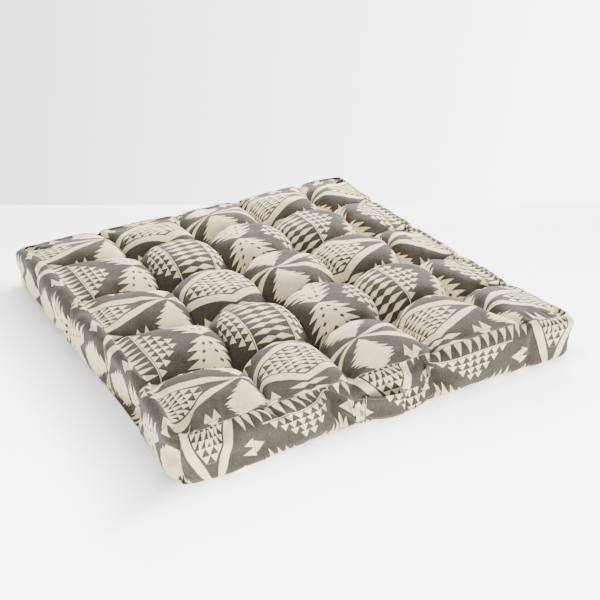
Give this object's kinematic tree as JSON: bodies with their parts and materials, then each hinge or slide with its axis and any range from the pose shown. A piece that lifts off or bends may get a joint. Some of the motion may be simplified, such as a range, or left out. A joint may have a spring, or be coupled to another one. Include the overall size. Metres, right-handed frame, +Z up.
{
  "type": "floor cushion",
  "caption": "Square tufted floor cushion in woven patterned cotton, with a boxed border and a cloth strap handle on its front side.",
  "frame": {"origin": "on the floor, under the middle of the cushion's square of seams", "axes": "+Z up, -Y towards the side with the strap handle, +X to the right when looking at that side"},
  "size_m": [0.7612, 0.7835, 0.103],
  "materials": {
    "woven_cover": "heavy woven cotton, cream figure on a taupe ground, matt",
    "strap_cloth": "folded and stitched strip of the cover's cloth, matt",
    "fibre": "loose cotton fibre",
    "twine": "waxed twine",
    "seam_thread": "cotton sewing thread",
    "tack_thread": "thick cotton thread, dense bar tack"
  },
  "bodies": {
    "cushion": {"top_panel": "woven_cover", "bottom_panel": "woven_cover", "border_front": "woven_cover", "border_right": "woven_cover", "border_back": "woven_cover", "border_left": "woven_cover", "fibre_filling": "fibre", "tuft_tie_1_1": "twine", "tuft_tie_2_1": "twine", "tuft_tie_3_1": "twine", "tuft_tie_4_1": "twine", "tuft_tie_1_2": "twine", "tuft_tie_2_2": "twine", "tuft_tie_3_2": "twine", "tuft_tie_4_2": "twine", "tuft_tie_1_3": "twine", "tuft_tie_2_3": "twine", "tuft_tie_3_3": "twine", "tuft_tie_4_3": "twine", "tuft_tie_1_4": "twine", "tuft_tie_2_4": "twine", "tuft_tie_3_4": "twine", "tuft_tie_4_4": "twine", "seam_top": "seam_thread", "seam_bottom": "seam_thread", "seam_corner_front_left": "seam_thread", "seam_corner_front_right": "seam_thread", "seam_corner_back_right": "seam_thread", "seam_corner_back_left": "seam_thread", "handle_end_left": "strap_cloth", "handle_end_right": "strap_cloth", "handle_tack_left": "tack_thread", "handle_tack_right": "tack_thread"},
    "strap": {"handle_strap": "strap_cloth"}
  },
  "joints": [
    {"name": "strap_lift", "type": "hinge", "parent": "cushion", "child": "strap", "pos_m": [0, -0.3797, 0.066], "axis": [-1, 0, 0], "range_deg": [0, 80]}
  ]
}
